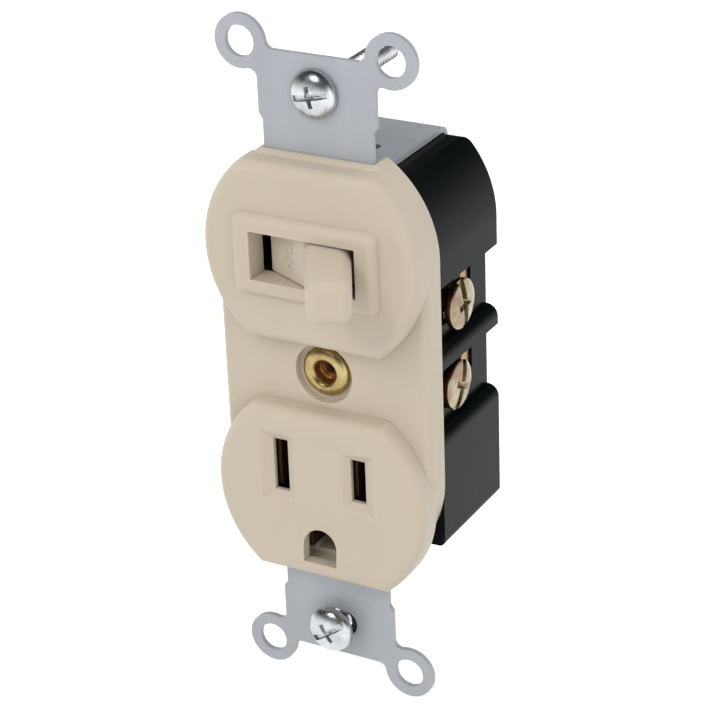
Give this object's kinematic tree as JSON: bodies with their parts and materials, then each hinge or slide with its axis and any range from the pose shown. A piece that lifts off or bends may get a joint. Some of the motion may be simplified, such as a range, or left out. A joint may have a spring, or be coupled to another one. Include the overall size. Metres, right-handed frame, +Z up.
{
  "type": "toggle switch and grounded socket combination",
  "caption": "Wall device on a folded steel strap: a sideways toggle switch above one grounded socket, with side terminal screws and mounting screws.",
  "frame": {"origin": "on the wall plane at the back of the strap's ears, midway between the two mounting screws", "axes": "+Z up along the strap, +X to the right as seen from the front, -Y out of the wall towards the user"},
  "size_m": [0.0342, 0.0403, 0.103],
  "materials": {
    "ivory_plastic": "moulded ivory, satin",
    "black_plastic": "moulded black, satin",
    "zinc_strap": "zinc plated steel, matte",
    "zinc_screw": "zinc plated steel, bright",
    "brass_strip": "rolled brass strip",
    "brass_screw": "yellow passivated, slightly iridescent",
    "silver_screw": "bright plated",
    "green_screw": "green dyed plating",
    "brass_rivet": "turned brass, dull",
    "silver_contact": "silver alloy",
    "spring_steel": "bare spring wire",
    "black_card": "pressed black fibre"
  },
  "bodies": {
    "frame": {"mounting_strap": "zinc_strap", "front_cover": "ivory_plastic", "base_housing": "black_plastic", "fixed_contact_tip": "silver_contact", "line_terminal": "brass_strip", "switched_terminal": "brass_strip", "neutral_terminal": "brass_strip", "ground_terminal": "brass_strip", "hot_blade_contact": "brass_strip", "neutral_blade_contact": "brass_strip", "ground_contact": "brass_strip", "line_screw_upper": "brass_screw", "line_screw_lower": "brass_screw", "switched_screw": "brass_screw", "neutral_screw": "silver_screw", "ground_screw": "green_screw", "mounting_screw_top": "zinc_screw", "mounting_screw_bottom": "zinc_screw", "retaining_washer_top": "black_card", "retaining_washer_bottom": "black_card", "centre_rivet": "brass_rivet"},
    "toggle": {"toggle_lever": "ivory_plastic", "detent_plunger": "black_card", "toggle_spring": "spring_steel"},
    "rocker": {"contact_rocker": "brass_strip", "moving_contact_tip": "silver_contact"}
  },
  "joints": [
    {"name": "toggle_swing", "type": "hinge", "parent": "frame", "child": "toggle", "pos_m": [0, 0.00055, 0.01865], "axis": [0, 0, 1], "range_deg": [-60, 0]},
    {"name": "rocker_tilt", "type": "hinge", "parent": "frame", "child": "rocker", "pos_m": [0, 0.01065, 0.01865], "axis": [0, 0, 1], "range_deg": [0, 16]}
  ],
  "couplings": [
    {"joint": "rocker_tilt", "follows": "toggle_swing", "ratio": -0.26667}
  ]
}
